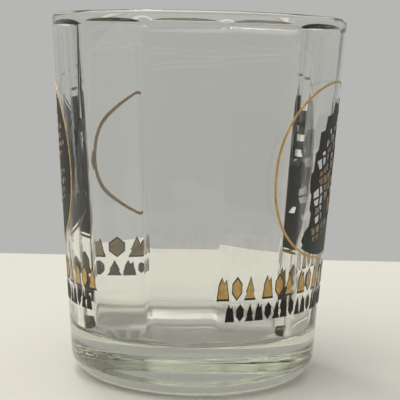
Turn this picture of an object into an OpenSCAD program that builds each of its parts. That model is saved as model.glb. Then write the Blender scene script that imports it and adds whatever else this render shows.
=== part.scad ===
// Souvenir shot glass: one pressed glass with flat panels inside, and fired-on enamel prints
// on its outer wall, the same picture and borders on the front and on the back.
// Origin on the table at the middle of the foot, +Z up. The front print faces -Y.

/* [Glass] */
// Outer diameter at the rim
rim_d = 49; // [42:0.5:60]
// Outer diameter of the tapered wall, carried down to the table
base_d = 41; // [34:0.5:50]
// Height from the table to the rim
glass_h = 59.7; // [48:0.1:75]
// Wall thickness at the rim band
rim_wall = 1.2; // [1.2:0.1:2.4]
// Thickness the tapered wall would have at the table
base_wall = 2.6; // [1.8:0.1:4]
// Thickness of the solid base, table to floor
floor_t = 7.8; // [5:0.1:12]
// Radius between the floor and the wall, inside
floor_r = 3.2; // [1:0.1:6]
// Radius of the rounded heel, outside
heel_r = 4; // [1:0.1:6]
// Width of the ring that the glass stands on
foot_ring_w = 3; // [1.5:0.1:6]
// Depth of the hollow under the foot
foot_hollow_h = 0.7; // [0.2:0.1:2]

/* [Inside panels] */
// Number of flat panels around the inside
panel_count = 12; // [8:1:16]
// Turn of the first panel edge from the front of the print, in degrees
panel_turn = 1.7; // [-22:0.1:22]
// Width of the round strip left between two panels
panel_gap = 0.5; // [0.2:0.05:1]
// Height of the plain round band between the panels and the rim
rim_band_h = 1.2; // [1.2:0.1:8]
// Radius of the shoulder that ends a panel at its top
shoulder_r = 1.3; // [1:0.1:4]

/* [Enamel] */
// Thickness of a fired enamel layer
enamel_t = 0.06; // [0.04:0.01:0.2]
// Turn of the back print from the front print, in degrees
back_turn = 188.5; // [175:0.5:190]

/* [Oval picture] */
// Height of the middle of the picture above the table
picture_z = 35.4; // [28:0.1:40]
// Width of its gold ring, measured along the wall
picture_w = 31.6; // [20:0.1:34]
// How far the middle of the picture lies right of the middle of the borders
picture_shift = 1.3; // [-3:0.1:3]
// Height of its gold ring
picture_h = 28.9; // [20:0.1:32]
// Width of the gold line
ring_line = 0.38; // [0.3:0.02:1]
// How square the ring is: 2 is a plain ellipse
ring_square = 2.25; // [2:0.05:3]
// Room between the gold line and the picture in it
ring_room = 0.3; // [0.1:0.05:1]
// Width of a stone in the cliff
stone_w = 1.7; // [1.4:0.05:4]
// Height of a stone in the cliff
stone_h = 1.4; // [1.2:0.05:4]
// Share of a stone's width that is left open between the dark joints
stone_open = 0.74; // [0.5:0.01:0.85]
// Height of a fir tree
fir_h = 4.6; // [3:0.1:7]

/* [Gold border] */
// Height of the middle of the gold border above the table
border_z = 18; // [14:0.1:20]
// Height of its ornaments
border_h = 3.8; // [2:0.1:5]
// Length of the border, measured along the wall
border_w = 44.6; // [36:0.1:54]
// Number of ornament groups, each of three ornaments
border_groups = 6; // [3:1:6]
// Width of the dark outline round each ornament
outline_w = 0.28; // [0.15:0.01:0.4]
// Share of its place in the row that an ornament takes, in both borders
ornament_fill = 0.93; // [0.6:0.01:0.95]

/* [Black border] */
// Height of the middle of the black border above the table
small_z = 14.15; // [11:0.05:16]
// Height of its ornaments
small_h = 2.8; // [1:0.1:3.2]
// Length of the black border, measured along the wall
small_w = 41.2; // [36:0.1:54]
// Number of ornaments in it
small_count = 25; // [9:1:27]

/* [Hidden] */
$fn = 96;

front = 0;
back = back_turn;

rim_r = rim_d / 2;
base_r = base_d / 2;
far = rim_d;

// Radius of the outer wall at a height
function outer_r(z) = base_r + (rim_r - base_r) * z / glass_h;
// Wall thickness at a height
function wall(z) = base_wall + (rim_wall - base_wall) * z / glass_h;
// Radius of the round inside wall at a height
function inner_r(z) = outer_r(z) - wall(z);

// How far the two sides of the wall lean out
lean = atan2(rim_r - base_r, glass_h);
inner_lean = atan2(inner_r(glass_h) - inner_r(0), glass_h);

// Heel: an arc that touches the table and the outer wall
heel_mid_r = base_r + tan(lean) * heel_r - heel_r / cos(lean);
heel_top = [heel_mid_r + heel_r * cos(lean), heel_r - heel_r * sin(lean)];

// Lip: an arc that touches both sides of the wall
lip_r = rim_wall / (1 / cos(lean) + 1 / cos(inner_lean) - (base_wall - rim_wall) / glass_h);
lip_z = glass_h - lip_r;
lip_mid_r = outer_r(lip_z) - lip_r / cos(lean);
lip_outer = [lip_mid_r + lip_r * cos(lean), lip_z - lip_r * sin(lean)];
lip_inner = [lip_mid_r - lip_r * cos(inner_lean), lip_z + lip_r * sin(inner_lean)];

// Floor corner: an arc that touches the floor and the inside wall
floor_mid_z = floor_t + floor_r;
floor_mid_r = inner_r(floor_mid_z) - floor_r / cos(inner_lean);
floor_top = [
  floor_mid_r + floor_r * cos(inner_lean), floor_mid_z - floor_r * sin(inner_lean)
];

// Hollow under the foot: part of a ball, inside the ring that the glass stands on
foot_r = heel_mid_r - foot_ring_w;
foot_ball_r = (foot_r * foot_r + foot_hollow_h * foot_hollow_h) / (2 * foot_hollow_h);

module outer_profile() {
  polygon([[0, 0], [heel_mid_r, 0], heel_top, lip_outer, lip_inner, [0, lip_inner[1]]]);
  translate([heel_mid_r, heel_r]) circle(r = heel_r);
  translate([lip_mid_r, lip_z]) circle(r = lip_r);
}

module cavity_profile() {
  polygon([
    [0, floor_t], [floor_mid_r, floor_t], floor_top, lip_inner, [lip_inner[0], far * 2],
    [0, far * 2]
  ]);
  translate([floor_mid_r, floor_mid_z]) circle(r = floor_r);
}

// Distance of a panel's plane from the axis, short of where the planes would meet
gap_angle = panel_gap / inner_r(glass_h / 2) * 90 / PI;
panel_half = 180 / panel_count - gap_angle;
function panel_r(z) = inner_r(z) * cos(panel_half);

// Shoulder: an arc that touches the panel and ends it under the rim band
panel_depth = inner_r(glass_h) * (1 - cos(panel_half));
shoulder_h = sqrt(pow(shoulder_r, 2) - pow(max(0, shoulder_r - panel_depth), 2));
shoulder_z = glass_h - rim_band_h - shoulder_h;
shoulder_mid_r = panel_r(shoulder_z) + shoulder_r / cos(inner_lean);
shoulder_foot = [
  shoulder_mid_r - shoulder_r * cos(inner_lean), shoulder_z + shoulder_r * sin(inner_lean)
];

// Side outline of the glass that fills in one panel
module panel_profile() {
  polygon([
    [panel_r(0), 0], shoulder_foot, [shoulder_mid_r, shoulder_z + shoulder_r],
    [far, shoulder_z + shoulder_r], [far, 0]
  ]);
  translate([shoulder_mid_r, shoulder_z]) circle(r = shoulder_r);
}

module panels() {
  for (i = [0:panel_count - 1])
    rotate([0, 0, panel_turn + (i + 0.5) * 360 / panel_count - 90])
      rotate([90, 0, 0])
        translate([0, 0, -far / 2]) linear_extrude(far) panel_profile();
}

module glass_body() {
  color("lightcyan", 0.35) difference() {
    rotate_extrude() outer_profile();
    difference() {
      rotate_extrude() cavity_profile();
      panels();
    }
    translate([0, 0, foot_hollow_h - foot_ball_r]) sphere(r = foot_ball_r);
  }
}

// A thin conical layer on the outer wall between two heights, over a number of earlier layers
module layer(z_low, z_high, under) {
  rotate_extrude() polygon([
    [outer_r(z_low) + under * enamel_t, z_low],
    [outer_r(z_low) + (under + 1) * enamel_t, z_low],
    [outer_r(z_high) + (under + 1) * enamel_t, z_high],
    [outer_r(z_high) + under * enamel_t, z_high]
  ]);
}

// Part of the layer under a flat drawing that is pushed into the wall from the front
module printed(side, z_low, z_high, under = 0) {
  rotate([0, 0, side]) intersection() {
    layer(z_low, z_high, under);
    rotate([90, 0, 0]) linear_extrude(far) children();
  }
}

// The same for a row of small drawings, each pushed in square to the wall.
// "at" lists each drawing's distance along the wall from the middle of the print.
module printed_row(side, z_mid, h, at) {
  for (i = [0:len(at) - 1])
    rotate([0, 0, at[i] / outer_r(z_mid) * 180 / PI])
      printed(side, z_mid - h, z_mid + h) translate([0, z_mid]) {
        $i = i;
        children();
      }
}

half_w = picture_w / 2;
half_h = picture_h / 2;

// A point of the picture, given along the wall and above the ring's middle, seen from the front
function wrap(p) = let(z = picture_z + p[1])
  [outer_r(z) * sin((p[0] + picture_shift) / outer_r(z) * 180 / PI), z];
function wrap_all(points) = [for (p = points) wrap(p)];
module picture_layer(side, under = 0) {
  printed(side, picture_z - half_h, picture_z + half_h, under) children();
}

function squared(v) = sign(v) * pow(abs(v), 2 / ring_square);
function ring_point(grow, a) = [
  (half_w + grow) * squared(cos(a)), (half_h + grow) * squared(sin(a))
];
function ring(grow) = [for (a = [0:5:355]) ring_point(grow, a)];

module gold_ring(side) {
  color("darkgoldenrod") picture_layer(side) difference() {
    polygon(wrap_all(ring(0)));
    polygon(wrap_all(ring(-ring_line)));
  }
}

// The cliff's left edge, top to bottom, as shares of the ring's half width and height
cliff_edge = [
  [0.36, 0.84], [0.2, 0.76], [0, 0.8], [-0.08, 0.66], [-0.24, 0.64], [-0.28, 0.48],
  [-0.38, 0.46], [-0.4, 0.26], [-0.45, 0.22], [-0.46, 0.02], [-0.5, -0.02], [-0.5, -0.2],
  [-0.46, -0.26], [-0.47, -0.42], [-0.43, -0.48], [-0.45, -0.62], [-0.52, -0.68], [-0.57, -0.78]
];
inside = 1 - (ring_line + ring_room) / min(half_w, half_h);
// The edge is closed along the inside of the ring, round the right side
cliff_outline = concat(
  [for (p = cliff_edge) [p[0] * half_w, p[1] * half_h] * inside],
  [for (a = [243:6:405]) ring_point(0, a) * inside]
);

// How far right the cliff's edge lies at a height
function edge_between(a, b, y) = a[0] + (b[0] - a[0]) * (a[1] - y) / (a[1] - b[1]);
function edge_at(y) = max([for (i = [0:len(cliff_edge) - 2])
  let(a = cliff_edge[i], b = cliff_edge[i + 1])
    (y <= a[1] && y > b[1]) ? edge_between(a, b, y) : -1]);

// A repeatable value from -1 to 1 for a stone or a corner of a stone
function wobble(i, j, k) = let(v = sin(i * 127.1 + j * 311.7 + k * 74.7) * 43.758)
  2 * (v - floor(v)) - 1;

// Stones fill a leaning grid whose corners are moved a little, each stone drawn in from its corners
jitter = 0.26;
bed_rise = 0.22;
face_lean = 0.3;
size_change = 0.08;
function grid_corner(i, j) = let(u = i + jitter * wobble(i, j, 1), v = j + jitter * wobble(i, j, 2))
  [u * stone_w - v * stone_h * face_lean, v * stone_h + u * stone_w * bed_rise];
function stone_corners(i, j) = [
  grid_corner(i, j), grid_corner(i + 1, j), grid_corner(i + 1, j + 1), grid_corner(i, j + 1)
];
function stone_mid(i, j) = let(c = stone_corners(i, j)) (c[0] + c[1] + c[2] + c[3]) / 4;
function stone(i, j) =
  let(mid = stone_mid(i, j), share = (in_shadow(i, j) ? shadow_open : stone_open))
    [for (c = stone_corners(i, j)) mid + (c - mid) * (share + size_change * wobble(i, j, 3))];

// A stone is drawn where all of it lies inside the cliff, clear of its edge and of the ring
edge_clear = 0.02;
top_clear = 0.08;
ring_clear = 0.04;
edge_step = 0.04;
function in_cliff(p) = let(x = p[0] / half_w, y = p[1] / half_h)
  x > max([for (k = [-1:2]) edge_at(y + k * edge_step)]) + edge_clear
  && y < cliff_edge[0][1] - top_clear
  && norm([x, y]) < inside - ring_clear;

// Left of the shadow line most stones are drawn. Right of it they are fewer and smaller.
shadow_at = 0.3;
shadow_wobble = 0.12;
lit_share = 0.94;
shadow_share = 0.8;
shadow_open = 0.5;
function in_shadow(i, j) = stone_mid(i, j)[0] / half_w > shadow_at + shadow_wobble * wobble(i, j, 7);
function is_drawn(i, j) =
  min([for (c = stone_corners(i, j)) in_cliff(c) ? 1 : 0]) == 1
  && (wobble(i, j, 4) + 1) / 2 < (in_shadow(i, j) ? shadow_share : lit_share);
grid_reach = 1.6;
across = ceil(half_w / stone_w * grid_reach);
down = ceil(half_h / stone_h * grid_reach);
stones = [for (j = [-down:down], i = [-across:across]) if (is_drawn(i, j)) [i, j]];

// Tinted stones are printed over the black, and the others are left open in it.
// All in the shadow are tinted, and most of those low down or far right.
tint_right = 0.6;
tint_down = 1.1;
function is_tinted(s) = let(m = stone_mid(s[0], s[1]))
  in_shadow(s[0], s[1])
  || wobble(s[0], s[1], 5) < tint_right * m[0] / half_w - tint_down * m[1] / half_h;

// Fir trees stand on a wooded slope, and a nearer row stands out dark in front of them.
// Each is given by the place of its foot and its size.
slope_top = [
  [-0.5, -0.85], [-0.2, -0.78], [0.05, -0.62], [0.3, -0.52], [0.6, -0.42], [0.95, -0.3]
];
slope = concat(
  [for (p = slope_top) [p[0] * half_w, p[1] * half_h]], [[half_w, -half_h], [-half_w, -half_h]]
);
function slope_at(x) = max([for (i = [0:len(slope_top) - 2])
  let(a = slope_top[i], b = slope_top[i + 1])
    (x >= a[0] && x < b[0]) ? a[1] + (b[1] - a[1]) * (x - a[0]) / (b[0] - a[0]) : -1]);
function firs(count, first, step, sunk, size, change) = [
  for (k = [0:count - 1]) let(x = first + k * step)
    [x * half_w, slope_at(x) * half_h - sunk * fir_h, size + change * wobble(k, count, 6)]
];
fir_at = firs(count = 13, first = -0.48, step = 0.105, sunk = 0.25, size = 0.8, change = 0.22);
near_fir_at = firs(count = 7, first = -0.2, step = 0.13, sunk = 0.85, size = 0.66, change = 0.2);
fir_half = [
  [0, 1], [0.11, 0.74], [0.06, 0.74], [0.17, 0.5], [0.1, 0.5], [0.23, 0.22], [0.13, 0.22],
  [0.29, -0.06], [0.05, -0.06], [0.05, -0.2]
];
function mirrored(points) = [for (q = [len(points) - 1:-1:0]) [-points[q][0], points[q][1]]];
function fir(at) = [for (p = concat(fir_half, mirrored(fir_half)))
  [at[0], at[1]] + fir_h * at[2] * p];

module near_firs() {
  intersection() {
    polygon(wrap_all(ring(-ring_line - ring_room)));
    for (at = near_fir_at) polygon(wrap_all(fir(at)));
  }
}

module wood() {
  intersection() {
    polygon(wrap_all(ring(-ring_line - ring_room)));
    union() {
      polygon(wrap_all(slope));
      for (at = fir_at) polygon(wrap_all(fir(at)));
    }
  }
}

module cliff_lines(side) {
  color("black") picture_layer(side) difference() {
    polygon(wrap_all(cliff_outline));
    for (s = stones) if (!is_tinted(s)) polygon(wrap_all(stone(s[0], s[1])));
    wood();
  }
  color("black") picture_layer(side) near_firs();
}

module cliff_tint(side) {
  color("saddlebrown") picture_layer(side, 1) difference() {
    for (s = stones) if (is_tinted(s)) polygon(wrap_all(stone(s[0], s[1])));
    wood();
  }
}

module fir_trees(side) {
  color("darkgreen") picture_layer(side) difference() {
    wood();
    near_firs();
  }
}

// Ornaments are one unit wide and high, and centred: a peak, a lozenge and a small fir
ornaments = [
  [[-0.5, -0.5], [-0.36, 0.18], [-0.13, 0.5], [0.06, 0.24], [0.24, 0.4], [0.5, -0.5]],
  [[-0.4, -0.2], [-0.4, 0.2], [0, 0.5], [0.4, 0.2], [0.4, -0.2], [0, -0.5]],
  [
    [-0.5, -0.5], [-0.25, -0.16], [-0.36, -0.16], [0, 0.5], [0.36, -0.16], [0.25, -0.16],
    [0.5, -0.5]
  ]
];
module ornament(kind, w, h) {
  polygon([for (p = ornaments[kind]) [p[0] * w, p[1] * h]]);
}

group_size = 3;
group_space = 0.45;
border_pitch = border_w / (border_groups * (group_size + group_space) - group_space);
border_at = [for (g = [0:border_groups - 1], k = [0:group_size - 1])
  (g * (group_size + group_space) + k + 0.5) * border_pitch - border_w / 2];
ornament_w = border_pitch * ornament_fill;
outline_share = 2.4;
gold_share = 1 - outline_share * outline_w / border_h;

module border_gold(side) {
  color("goldenrod") printed_row(side, border_z, border_h, border_at)
    ornament($i % group_size, ornament_w * gold_share, border_h * gold_share);
}

module border_outline(side) {
  color("#2a1c10") printed_row(side, border_z, border_h, border_at) difference() {
    ornament($i % group_size, ornament_w, border_h);
    ornament($i % group_size, ornament_w * gold_share, border_h * gold_share);
  }
}

small_pitch = small_w / small_count;
small_at = [for (i = [0:small_count - 1]) (i + 0.5) * small_pitch - small_w / 2];

module small_border(side) {
  color("black") printed_row(side, small_z, small_h, small_at)
    ornament($i % group_size, small_pitch * ornament_fill, small_h);
}

glass_body();
gold_ring(front);  // front_gold_ring
cliff_lines(front);  // front_cliff_lines
cliff_tint(front);  // front_cliff_tint
fir_trees(front);  // front_fir_trees
border_gold(front);  // front_border_gold
border_outline(front);  // front_border_outline
small_border(front);  // front_small_border
gold_ring(back);  // back_gold_ring
cliff_lines(back);  // back_cliff_lines
cliff_tint(back);  // back_cliff_tint
fir_trees(back);  // back_fir_trees
border_gold(back);  // back_border_gold
border_outline(back);  // back_border_outline
small_border(back);  // back_small_border
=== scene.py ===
from math import acos, atan, cos, degrees, pi, radians, sin, sqrt, tan

import bpy
from mathutils import Matrix, Vector


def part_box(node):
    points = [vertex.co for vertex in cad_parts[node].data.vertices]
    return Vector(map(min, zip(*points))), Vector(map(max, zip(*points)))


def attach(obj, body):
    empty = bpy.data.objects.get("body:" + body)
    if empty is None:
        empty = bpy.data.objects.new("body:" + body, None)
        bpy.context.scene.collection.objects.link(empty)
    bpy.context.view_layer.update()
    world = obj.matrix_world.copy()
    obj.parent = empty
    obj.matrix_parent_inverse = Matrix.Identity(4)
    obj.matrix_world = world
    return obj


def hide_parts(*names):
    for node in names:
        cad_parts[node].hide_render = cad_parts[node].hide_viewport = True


# Shot glass: the pressed glass is made here, and the enamel prints get their finishes.
mm = 0.001
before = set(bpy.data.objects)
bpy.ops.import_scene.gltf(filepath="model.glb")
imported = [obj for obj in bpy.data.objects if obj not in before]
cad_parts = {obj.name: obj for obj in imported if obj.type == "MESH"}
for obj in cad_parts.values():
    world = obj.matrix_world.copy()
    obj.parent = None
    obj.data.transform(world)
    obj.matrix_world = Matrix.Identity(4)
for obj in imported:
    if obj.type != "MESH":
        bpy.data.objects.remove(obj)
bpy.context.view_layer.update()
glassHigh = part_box("glass_body")[1]


def clearSelection():
    if bpy.context.object and bpy.context.object.mode != "OBJECT":
        bpy.ops.object.mode_set(mode="OBJECT")
    bpy.ops.object.select_all(action="DESELECT")


def pick(piece):
    clearSelection()
    piece.select_set(True)
    bpy.context.view_layer.objects.active = piece


def arc(middle, radius, start, end, steps):
    # points along an arc in a drawing plane, with angles in degrees
    turn = (end - start) / steps
    return [(middle[0] + radius * cos(radians(start + turn * i)),
             middle[1] + radius * sin(radians(start + turn * i))) for i in range(steps + 1)]


def drawLine(name, points, upright=True):
    # one vertex, pulled along the points with extrude, standing up or lying flat
    lay = (lambda x, y: (x, 0, y)) if upright else (lambda x, y: (x, y, 0))
    clearSelection()
    bpy.ops.mesh.primitive_plane_add(size=mm, location=(0, 0, 0))
    piece = bpy.context.object
    piece.name = name
    bpy.ops.object.mode_set(mode="EDIT")
    bpy.ops.mesh.select_all(action="SELECT")
    bpy.ops.mesh.merge(type="CENTER")
    bpy.ops.transform.translate(value=lay(*points[0]))
    for before, after in zip(points, points[1:]):
        step = lay(after[0] - before[0], after[1] - before[1])
        bpy.ops.mesh.extrude_region_move(TRANSFORM_OT_translate={"value": step})
    bpy.ops.mesh.select_all(action="SELECT")
    return piece


# The glass: a section spun round, with a twelve-sided liner joined in for the flat panels
glass = {
    "baseRadius": 20.5 * mm,     # tapered wall carried down to the table
    "rimWall": 1.2 * mm,
    "baseWall": 2.6 * mm,
    "floor": 7.8 * mm,
    "floorCorner": 3.2 * mm,
    "heel": 4 * mm,
    "footRing": 3 * mm,
    "footHollow": 0.7 * mm,
    "panels": 12,
    "panelTurn": 1.7,            # degrees from the front of the print
    "panelCrown": 0.07 * mm,     # how far a panel swells in its middle
    "panelCorner": 2.3 * mm,     # radius of the groove between two panels
    "rimBand": 1.2 * mm,
    "shoulder": 1.3 * mm,
    "flareLap": 0.1 * mm,        # how far the liner's top reaches into the wall
    "linerBack": 0.6 * mm,       # how far its foot reaches into the wall
    "linerFoot": 2 * mm,         # how deep its foot stands in the base
    "inkSink": 0.02 * mm,        # how deep the enamel lies in the glass
    "turns": 480,
    "steps": {"hollow": 10, "heel": 16, "lip": 20, "corner": 14, "flare": 12, "groove": 5, "crown": 14},
    "weld": 0.001 * mm,
    "linerWeld": 0.01 * mm,
    "sharpEdge": 9,              # degrees
}


def outerSlope(g):
    return (glassHigh.x - g["baseRadius"]) / glassHigh.z


def innerSlope(g):
    return outerSlope(g) + (g["baseWall"] - g["rimWall"]) / glassHigh.z


def outerRadius(g, z):
    return g["baseRadius"] + outerSlope(g) * z + g["inkSink"]


def innerRadius(g, z):
    return g["baseRadius"] - g["baseWall"] + innerSlope(g) * z


def glassSection(g):
    height, heel, corner, hollow = glassHigh.z, g["heel"], g["floorCorner"], g["footHollow"]
    steps = g["steps"]
    secant, innerSecant = sqrt(1 + outerSlope(g) ** 2), sqrt(1 + innerSlope(g) ** 2)
    lean, innerLean = degrees(atan(outerSlope(g))), degrees(atan(innerSlope(g)))
    heelMiddle = outerRadius(g, heel) - heel * secant
    footEdge = heelMiddle - g["footRing"]
    ball = (footEdge ** 2 + hollow ** 2) / (2 * hollow)
    ballEnd = 90 - degrees(atan(footEdge / (ball - hollow)))
    lip = ((outerRadius(g, height) - innerRadius(g, height))
           / (secant + innerSecant - innerSlope(g) + outerSlope(g)))
    lipMiddle = (outerRadius(g, height - lip) - lip * secant, height - lip)
    cornerMiddle = (innerRadius(g, g["floor"] + corner) - corner * innerSecant, g["floor"] + corner)
    points = arc((0, hollow - ball), ball, 90, ballEnd, steps["hollow"])
    points[-1] = (footEdge, 0)
    points += arc((heelMiddle, heel), heel, -90, -lean, steps["heel"])
    points += arc(lipMiddle, lip, -lean, 180 - innerLean, steps["lip"])
    points += arc(cornerMiddle, corner, -innerLean, -90, steps["corner"])
    return points + [(0, g["floor"])]


def panelOutline(g, reach):
    # one panel seen from above at a distance from the axis, from groove to groove
    half = pi / g["panels"]
    edge = reach * tan(half) - g["panelCorner"] * tan(half)
    groove = (reach - g["panelCorner"], -edge)
    grooveSteps, crownSteps = g["steps"]["groove"], g["steps"]["crown"]
    points = arc(groove, g["panelCorner"], -degrees(half), 0, grooveSteps)[:-1]
    for i in range(crownSteps + 1):
        across = 2 * i / crownSteps - 1
        points.append((reach - g["panelCrown"] * (1 - across ** 2), across * edge))
    return points + arc((groove[0], edge), g["panelCorner"], 0, degrees(half), grooveSteps)[1:]


def makeLiner(g):
    # a tube whose inside is the panels, flared out at its top by the shoulder
    half = pi / g["panels"]
    height, shoulder = glassHigh.z, g["shoulder"]
    rise = sqrt(shoulder ** 2 - max(0, shoulder - innerRadius(g, height) * (1 - cos(half))) ** 2)
    top = height - g["rimBand"] - rise
    bottom = g["floor"] - g["linerFoot"]
    middle = (innerRadius(g, top) * cos(half) + shoulder * sqrt(1 + innerSlope(g) ** 2), top)
    # the flare ends just inside the wall, and so does the foot of the liner's back
    lap, back = g["flareLap"], g["linerBack"]
    flareEnd = degrees(acos((innerRadius(g, top + shoulder) + lap - middle[0]) / shoulder))
    flare = arc(middle, shoulder, 180 - degrees(atan(innerSlope(g))), flareEnd, g["steps"]["flare"])
    section = [(innerRadius(g, bottom) * cos(half), bottom)] + flare
    section += [(flare[-1][0] + lap, flare[-1][1]), (innerRadius(g, bottom) + back, bottom)]
    piece = drawLine("panelLiner", panelOutline(g, section[0][0]), upright=False)
    bpy.ops.mesh.spin(steps=g["panels"], angle=2 * pi, dupli=True, center=(0, 0, 0), axis=(0, 0, 1))
    bpy.ops.mesh.select_all(action="SELECT")
    bpy.ops.mesh.remove_doubles(threshold=g["linerWeld"])
    # the first panel's middle lies on +X, and has to lie half a panel past the turn from -Y
    turn = radians(g["panelTurn"] - 90) + half
    bpy.ops.transform.rotate(value=-turn, orient_axis="Z", center_override=(0, 0, 0))
    bpy.ops.transform.translate(value=(0, 0, section[0][1]))
    for before, after in zip(section, section[1:]):
        grow, lift = after[0] / before[0], after[1] - before[1]
        bpy.ops.mesh.extrude_region_move(TRANSFORM_OT_translate={"value": (0, 0, lift)})
        bpy.ops.transform.resize(value=(grow, grow, 1), center_override=(0, 0, after[1]))
    bpy.ops.mesh.select_all(action="DESELECT")
    bpy.ops.mesh.select_non_manifold()
    bpy.ops.mesh.bridge_edge_loops()
    bpy.ops.mesh.select_all(action="SELECT")
    bpy.ops.mesh.normals_make_consistent(inside=False)
    bpy.ops.object.mode_set(mode="OBJECT")
    return piece


def makeGlass(g):
    piece = drawLine("glassBody", glassSection(g))
    bpy.ops.mesh.spin(steps=g["turns"], angle=2 * pi, center=(0, 0, 0), axis=(0, 0, 1))
    bpy.ops.mesh.select_all(action="SELECT")
    bpy.ops.mesh.remove_doubles(threshold=g["weld"])
    bpy.ops.mesh.normals_make_consistent(inside=False)
    liner = makeLiner(g)
    pick(piece)
    join = piece.modifiers.new("join", "BOOLEAN")
    join.operation = "UNION"
    join.solver = "EXACT"
    join.object = liner
    bpy.ops.object.modifier_apply(modifier=join.name)
    bpy.data.objects.remove(liner)
    bpy.ops.object.shade_smooth_by_angle(angle=radians(g["sharpEdge"]))
    even = piece.modifiers.new("even", "WEIGHTED_NORMAL")
    even.keep_sharp = True
    even.weight = 100
    bpy.ops.object.modifier_apply(modifier=even.name)
    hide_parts("glass_body")
    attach(piece, "root")
    return piece


glassBody = makeGlass(glass)
print("glass:", len(glassBody.data.polygons), "faces")


# Materials. A socket among the inputs is linked, and a plain value is set on its input.
def put(tree, kind, inputs, **settings):
    node = tree.nodes.new(kind)
    for name, value in settings.items():
        setattr(node, name, value)
    for name, value in inputs.items():
        if isinstance(value, bpy.types.NodeSocket):
            tree.links.new(value, node.inputs[name])
        else:
            node.inputs[name].default_value = value
    return node


def newMaterial(name):
    material = bpy.data.materials.new(name)
    material.use_nodes = True
    return material, material.node_tree, material.node_tree.nodes["Principled BSDF"]


def newGroup(name, inputs, outputs):
    group = bpy.data.node_groups.new(name, "ShaderNodeTree")
    for label, kind, value in inputs:
        socket = group.interface.new_socket(label, in_out="INPUT", socket_type=kind)
        if value is not None:
            socket.default_value = value
    for label, kind in outputs:
        group.interface.new_socket(label, in_out="OUTPUT", socket_type=kind)
    return group, group.nodes.new("NodeGroupInput"), group.nodes.new("NodeGroupOutput")


def makeRipple():
    # slow waves that a pressed and fire-polished surface keeps
    group, start, end = newGroup("glassRipple", [
        ("Around", "NodeSocketFloat", 130.0), ("Up", "NodeSocketFloat", 45.0),
        ("Height", "NodeSocketFloat", 0.00004)], [("Normal", "NodeSocketVector")])
    place = put(group, "ShaderNodeTexCoord", {})
    scale = put(group, "ShaderNodeCombineXYZ", {
        "X": start.outputs["Around"], "Y": start.outputs["Around"], "Z": start.outputs["Up"]})
    spread = put(group, "ShaderNodeVectorMath", {0: place.outputs["Object"], 1: scale.outputs[0]},
                 operation="MULTIPLY")
    waves = put(group, "ShaderNodeTexNoise", {
        "Vector": spread.outputs[0], "Scale": 1.0, "Detail": 0.0, "Roughness": 0.4})
    bump = put(group, "ShaderNodeBump", {
        "Strength": 1.0, "Distance": start.outputs["Height"], "Height": waves.outputs[0]})
    group.links.new(bump.outputs["Normal"], end.inputs["Normal"])
    return group


inkSurface = {
    "cloudEdges": (0.35, 0.65),
    "grainScale": 9000.0,
    "grainEdges": (0.3, 0.7),
    "pitScale": 2600.0,
    "pitEdges": (0.04, 0.12),
}


def makeInk(v):
    # fired enamel: cloudy tone, fine grain and small pits
    group, start, end = newGroup("firedInk", [
        ("Light", "NodeSocketColor", None), ("Dark", "NodeSocketColor", None),
        ("Cloud size", "NodeSocketFloat", 0.002), ("Cloudiness", "NodeSocketFloat", 0.5),
        ("Smooth", "NodeSocketFloat", 0.25), ("Rough", "NodeSocketFloat", 0.45),
        ("Grain height", "NodeSocketFloat", 0.000004)],
        [("Color", "NodeSocketColor"), ("Roughness", "NodeSocketFloat"), ("Normal", "NodeSocketVector"),
         ("Outside", "NodeSocketFloat")])
    place = put(group, "ShaderNodeTexCoord", {})
    # only the face that points away from the glass is glossy, the one that lies on it is bonded
    spoke = put(group, "ShaderNodeVectorMath", {0: place.outputs["Object"], 1: (1, 1, 0)},
                operation="MULTIPLY")
    facing = put(group, "ShaderNodeVectorMath", {0: spoke.outputs[0], 1: place.outputs["Normal"]},
                 operation="DOT_PRODUCT")
    outside = put(group, "ShaderNodeMath", {0: facing.outputs["Value"], 1: 0.0}, operation="GREATER_THAN")
    cloudScale = put(group, "ShaderNodeMath", {0: 1.0, 1: start.outputs["Cloud size"]}, operation="DIVIDE")
    clouds = put(group, "ShaderNodeTexNoise", {
        "Vector": place.outputs["Object"], "Scale": cloudScale.outputs[0], "Detail": 3.0, "Roughness": 0.6})
    spread = put(group, "ShaderNodeMapRange", {
        "Value": clouds.outputs[0], "From Min": v["cloudEdges"][0], "From Max": v["cloudEdges"][1],
        "To Min": 0.0, "To Max": start.outputs["Cloudiness"]})
    grain = put(group, "ShaderNodeTexNoise", {
        "Vector": place.outputs["Object"], "Scale": v["grainScale"], "Detail": 2.0, "Roughness": 0.5})
    pits = put(group, "ShaderNodeTexVoronoi", {"Vector": place.outputs["Object"], "Scale": v["pitScale"]})
    pitMask = put(group, "ShaderNodeMapRange", {
        "Value": pits.outputs["Distance"], "From Min": v["pitEdges"][0], "From Max": v["pitEdges"][1],
        "To Min": 1.0, "To Max": 0.0})
    colour = put(group, "ShaderNodeMix", {
        "Factor": spread.outputs[0], "A": start.outputs["Light"], "B": start.outputs["Dark"]},
        data_type="RGBA")
    rough = put(group, "ShaderNodeMapRange", {
        "Value": grain.outputs[0], "From Min": v["grainEdges"][0], "From Max": v["grainEdges"][1],
        "To Min": start.outputs["Smooth"], "To Max": start.outputs["Rough"]})
    gloss = put(group, "ShaderNodeMix", {0: outside.outputs[0], 2: 1.0, 3: rough.outputs[0]},
                data_type="FLOAT")
    surface = put(group, "ShaderNodeMath", {0: grain.outputs[0], 1: pitMask.outputs[0]},
                  operation="SUBTRACT")
    bump = put(group, "ShaderNodeBump", {
        "Strength": 1.0, "Distance": start.outputs["Grain height"], "Height": surface.outputs[0]})
    group.links.new(colour.outputs["Result"], end.inputs["Color"])
    group.links.new(gloss.outputs[0], end.inputs["Roughness"])
    group.links.new(outside.outputs[0], end.inputs["Outside"])
    group.links.new(bump.outputs["Normal"], end.inputs["Normal"])
    return group


ripple = makeRipple()
ink = makeInk(inkSurface)

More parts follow.
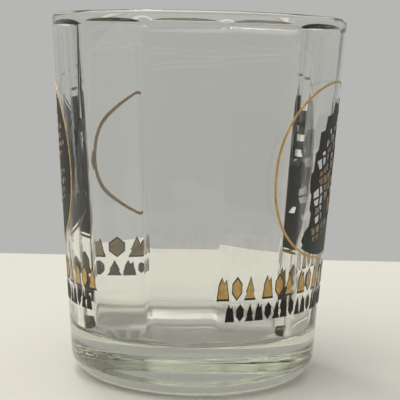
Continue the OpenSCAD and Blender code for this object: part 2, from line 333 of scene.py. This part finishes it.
clearGlass = {
    "tint": (0.94, 0.94, 0.932, 1),
    "depthColour": (0.60, 0.62, 0.50, 1),
    "depth": 20.0,               # how strongly thick glass colours, per metre
    "ior": 1.52,
    "around": 130.0,
    "up": 45.0,
    "waves": 0.03 * mm,
    "footWear": 0.25 * mm,       # height of the rubbed ring under the foot
    "scratchScale": 3000.0,
    "wornRoughness": 0.35,
}


def finishGlass(g):
    material, tree, shader = newMaterial("clearGlass")
    shader.inputs["Base Color"].default_value = g["tint"]
    shader.inputs["IOR"].default_value = g["ior"]
    shader.inputs["Transmission Weight"].default_value = 1
    waves = put(tree, "ShaderNodeGroup", {}, node_tree=ripple)
    waves.inputs["Around"].default_value = g["around"]
    waves.inputs["Up"].default_value = g["up"]
    waves.inputs["Height"].default_value = g["waves"]
    tree.links.new(waves.outputs["Normal"], shader.inputs["Normal"])
    thick = put(tree, "ShaderNodeVolumeAbsorption", {"Color": g["depthColour"], "Density": g["depth"]})
    tree.links.new(thick.outputs[0], tree.nodes["Material Output"].inputs["Volume"])
    # the ring that the glass stands on is rubbed dull
    place = put(tree, "ShaderNodeTexCoord", {})
    parts = put(tree, "ShaderNodeSeparateXYZ", {0: place.outputs["Object"]})
    scratches = put(tree, "ShaderNodeTexNoise", {
        "Vector": place.outputs["Object"], "Scale": g["scratchScale"], "Detail": 4.0})
    depth = put(tree, "ShaderNodeMapRange", {
        "Value": parts.outputs["Z"], "From Min": 0.0, "From Max": g["footWear"],
        "To Min": 1.0, "To Max": 0.0})
    worn = put(tree, "ShaderNodeMath", {0: depth.outputs[0], 1: scratches.outputs[0]}, operation="MULTIPLY")
    rough = put(tree, "ShaderNodeMath", {0: worn.outputs[0], 1: g["wornRoughness"]}, operation="MULTIPLY")
    tree.links.new(rough.outputs[0], shader.inputs["Roughness"])
    return material


glassBody.data.materials.clear()
glassBody.data.materials.append(finishGlass(clearGlass))

# two tones and the size of their clouds, how smooth and how rough it gets, and how far it is metal
enamels = {
    "gold": {
        "light": (0.60, 0.40, 0.15, 1), "dark": (0.33, 0.19, 0.06, 1), "cloudSize": 1.1 * mm,
        "cloudiness": 0.6, "smooth": 0.26, "rough": 0.42, "metallic": 0.7},
    "black": {
        "light": (0.006, 0.006, 0.006, 1), "dark": (0.02, 0.017, 0.013, 1), "cloudSize": 1.6 * mm,
        "cloudiness": 0.5, "smooth": 0.4, "rough": 0.6, "shine": 0.3},
    "tint": {
        "light": (0.34, 0.26, 0.17, 1), "dark": (0.10, 0.062, 0.028, 1), "cloudSize": 1.9 * mm,
        "cloudiness": 0.95, "smooth": 0.28, "rough": 0.5, "shine": 0.3},
    "green": {
        "light": (0.007, 0.03, 0.018, 1), "dark": (0.03, 0.05, 0.026, 1), "cloudSize": 0.8 * mm,
        "cloudiness": 0.5, "smooth": 0.4, "rough": 0.6, "shine": 0.3},
    "outline": {
        "light": (0.035, 0.02, 0.01, 1), "dark": (0.07, 0.04, 0.02, 1), "cloudSize": 1.2 * mm,
        "cloudiness": 0.6, "smooth": 0.25, "rough": 0.45, "shine": 0.3},
}


def finishEnamel(name, e):
    material, tree, shader = newMaterial(name + "Enamel")
    fired = put(tree, "ShaderNodeGroup", {}, node_tree=ink)
    fired.inputs["Light"].default_value = e["light"]
    fired.inputs["Dark"].default_value = e["dark"]
    fired.inputs["Cloud size"].default_value = e["cloudSize"]
    fired.inputs["Cloudiness"].default_value = e["cloudiness"]
    fired.inputs["Smooth"].default_value = e["smooth"]
    fired.inputs["Rough"].default_value = e["rough"]
    if "metallic" in e:
        metal = put(tree, "ShaderNodeMath", {0: fired.outputs["Outside"], 1: e["metallic"]},
                    operation="MULTIPLY")
        tree.links.new(metal.outputs[0], shader.inputs["Metallic"])
    else:
        shader.inputs["Specular IOR Level"].default_value = e["shine"]
    tree.links.new(fired.outputs["Color"], shader.inputs["Base Color"])
    tree.links.new(fired.outputs["Roughness"], shader.inputs["Roughness"])
    tree.links.new(fired.outputs["Normal"], shader.inputs["Normal"])
    return material


layers = {
    "gold_ring": "gold", "cliff_lines": "black", "cliff_tint": "tint", "fir_trees": "green",
    "border_gold": "gold", "border_outline": "outline", "small_border": "black",
}
finishes = {name: finishEnamel(name, e) for name, e in enamels.items()}
for side in ("front", "back"):
    for layer, finish in layers.items():
        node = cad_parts[f"{side}_{layer}"]
        node.data.materials.clear()
        node.data.materials.append(finishes[finish])
print("finishes:", ", ".join(finishes))


# Stage, light and camera. A heading is measured round the glass from the front of the print.
studio = {
    "heading": -68,
    "tableEdge": 0.111,          # table edge behind the glass
    "tableSize": 1.6,
    "tableDrop": 0.05 * mm,      # keeps the foot clear of the table
    "tableRoughness": 0.5,
    "tableColour": (0.80, 0.785, 0.70, 1),
    "wallColour": (0.468, 0.468, 0.455, 1),
    "roomColour": (0.07, 0.07, 0.067, 1),
    "roomEdges": (-0.2, 0.6),    # where the wall passes into the room, from behind to in front
    "ceilingColour": (1.9, 1.88, 1.82, 1),
    "ceilingEdges": (0.6, 0.9),
    "ceilingTurn": -60,          # the middle of the bright ceiling, from the viewer's side
    "ceilingTilt": 0.55,
}


def around(heading, distance, height):
    turn = radians(heading)
    return Vector((distance * sin(turn), -distance * cos(turn), height))


def makeStage(s):
    clearSelection()
    middle = s["tableEdge"] - s["tableSize"] / 2
    bpy.ops.mesh.primitive_plane_add(size=s["tableSize"], location=(0, middle, -s["tableDrop"]))
    table = bpy.context.object
    table.name = "table"
    bpy.ops.object.transform_apply(location=True, rotation=True, scale=True)
    table.data.transform(Matrix.Rotation(radians(s["heading"]), 4, "Z"))
    material, tree, shader = newMaterial("paleTable")
    shader.inputs["Base Color"].default_value = s["tableColour"]
    shader.inputs["Roughness"].default_value = s["tableRoughness"]
    table.data.materials.append(material)


def makeRoom(s):
    # a pale wall behind, a darker room on the side of the viewer, and a bright ceiling over it
    world = bpy.data.worlds.new("room")
    bpy.context.scene.world = world
    world.use_nodes = True
    tree = world.node_tree
    way = put(tree, "ShaderNodeTexCoord", {})
    front = put(tree, "ShaderNodeVectorMath", {
        0: way.outputs["Generated"], 1: around(s["heading"], 1, 0)}, operation="DOT_PRODUCT")
    frontShare = put(tree, "ShaderNodeMapRange", {
        "Value": front.outputs["Value"], "From Min": s["roomEdges"][0], "From Max": s["roomEdges"][1]},
        interpolation_type="SMOOTHSTEP")
    walls = put(tree, "ShaderNodeMix", {
        "Factor": frontShare.outputs[0], "A": s["wallColour"], "B": s["roomColour"]}, data_type="RGBA")
    ceiling = around(s["heading"] + s["ceilingTurn"], s["ceilingTilt"], 1).normalized()
    up = put(tree, "ShaderNodeVectorMath", {0: way.outputs["Generated"], 1: ceiling},
             operation="DOT_PRODUCT")
    upShare = put(tree, "ShaderNodeMapRange", {
        "Value": up.outputs["Value"], "From Min": s["ceilingEdges"][0], "From Max": s["ceilingEdges"][1]},
        interpolation_type="SMOOTHSTEP")
    air = put(tree, "ShaderNodeMix", {
        "Factor": upShare.outputs[0], "A": walls.outputs["Result"], "B": s["ceilingColour"]},
        data_type="RGBA")
    tree.links.new(air.outputs["Result"], tree.nodes["Background"].inputs["Color"])


lamp = {
    "turn": -150,                # degrees from the viewer's side
    "distance": 0.9,
    "height": 1.6,
    "aim": 0.03,                 # height of the point it is turned to
    "size": 0.3,
    "power": 4,
    "colour": (1, 0.98, 0.95),
}


def makeLamp(v):
    data = bpy.data.lights.new("lamp", "AREA")
    data.shape = "DISK"
    data.size = v["size"]
    data.energy = v["power"]
    data.color = v["colour"]
    light = bpy.data.objects.new("lamp", data)
    bpy.context.scene.collection.objects.link(light)
    light.location = around(studio["heading"] + v["turn"], v["distance"], v["height"])
    light.rotation_mode = "QUATERNION"
    light.rotation_quaternion = (Vector((0, 0, v["aim"])) - light.location).to_track_quat("-Z", "Y")


makeStage(studio)
makeRoom(studio)
makeLamp(lamp)

view = {
    "distance": 183.75 * mm,
    "height": 50.95 * mm,
    "down": 6.789,
    "right": 0.233,
    "roll": 1.307,
    "lens": 97.74,
    "sensor": 36,
    "near": 5 * mm,
}


def makeCamera(v):
    data = bpy.data.cameras.new("camera")
    data.lens = v["lens"]
    data.sensor_width = v["sensor"]
    data.clip_start = v["near"]
    camera = bpy.data.objects.new("camera", data)
    bpy.context.scene.collection.objects.link(camera)
    bpy.context.scene.camera = camera
    turn = (Matrix.Rotation(radians(studio["heading"] - v["right"]), 4, "Z")
            @ Matrix.Rotation(pi / 2 - radians(v["down"]), 4, "X")
            @ Matrix.Rotation(radians(v["roll"]), 4, "Z"))
    place = around(studio["heading"], v["distance"], v["height"])
    camera.matrix_world = Matrix.Translation(place) @ turn


makeCamera(view)
scene = bpy.context.scene
scene.view_settings.view_transform = "Standard"
scene.cycles.max_bounces = 32
scene.cycles.transmission_bounces = 32
scene.cycles.glossy_bounces = 16
scene.cycles.transparent_max_bounces = 16
scene.cycles.use_denoising = True
print("stage, light and camera set")
